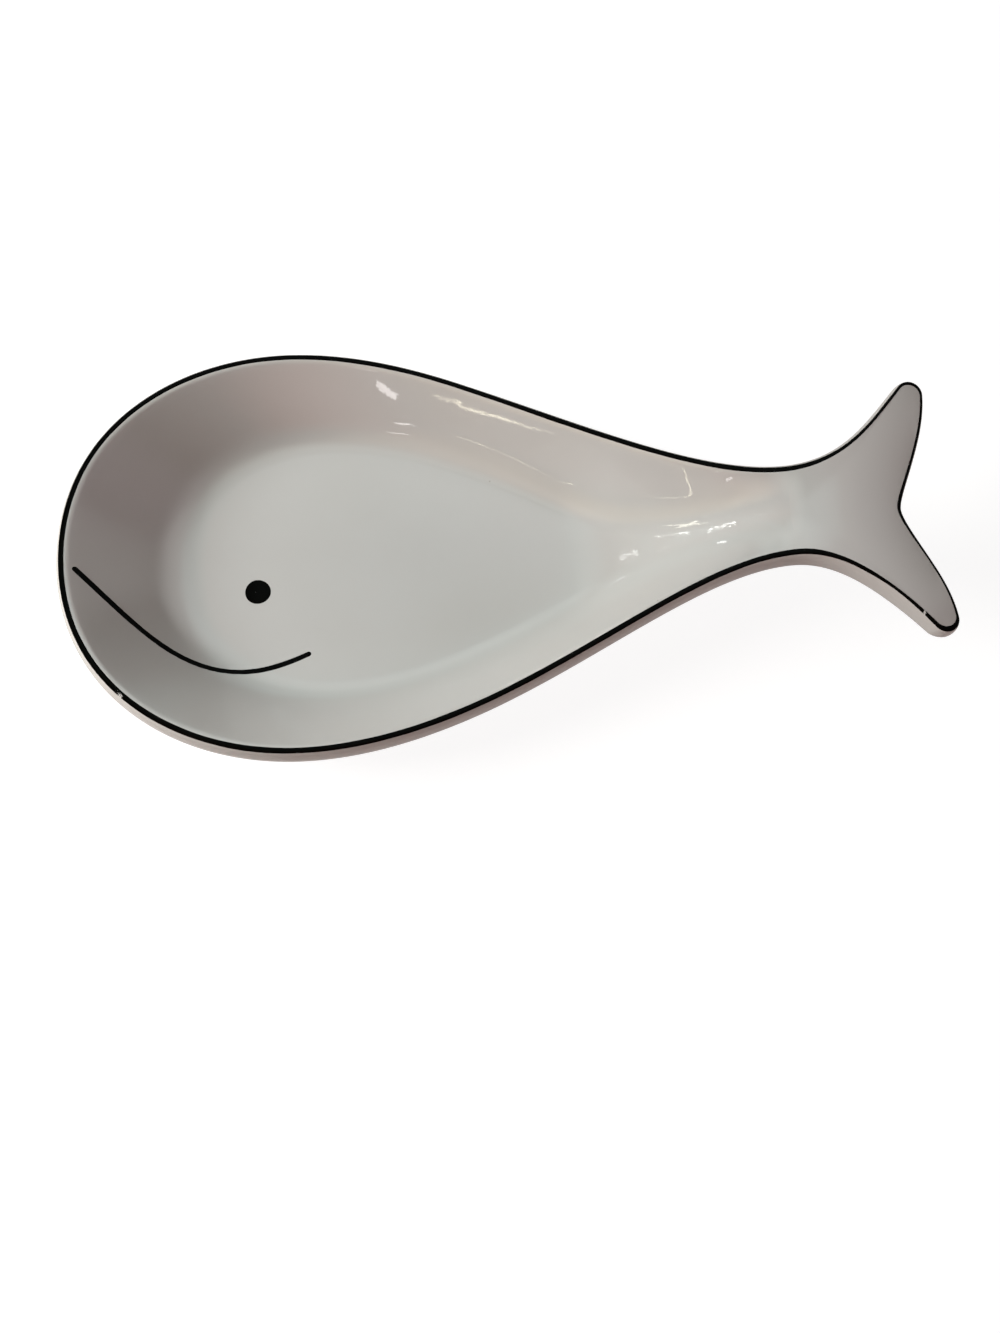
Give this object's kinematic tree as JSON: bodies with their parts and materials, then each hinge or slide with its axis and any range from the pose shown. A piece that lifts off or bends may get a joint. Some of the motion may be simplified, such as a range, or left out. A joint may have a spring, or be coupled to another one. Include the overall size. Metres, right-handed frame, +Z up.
{
  "type": "spoon rest",
  "caption": "Whale-shaped glazed ceramic spoon rest: a shallow teardrop bowl whose channelled handle rises to a forked tail, with a black rim line, eye and smile.",
  "frame": {"origin": "middle of the object's length and width, on the surface that the foot ring stands on", "axes": "+X from the whale's nose to its tail, +Y to the side away from the painted smile, +Z up out of the bowl"},
  "size_m": [0.239, 0.117, 0.0401],
  "materials": {
    "bare_clay": "matt unglazed stoneware",
    "white_glaze": "high gloss",
    "black_enamel": "gloss"
  },
  "bodies": {
    "root": {"clay_body": "bare_clay", "dish_glaze": "white_glaze", "base_glaze": "white_glaze", "rim_line": "black_enamel", "eye_dot": "black_enamel", "smile_line": "black_enamel"}
  },
  "joints": []
}
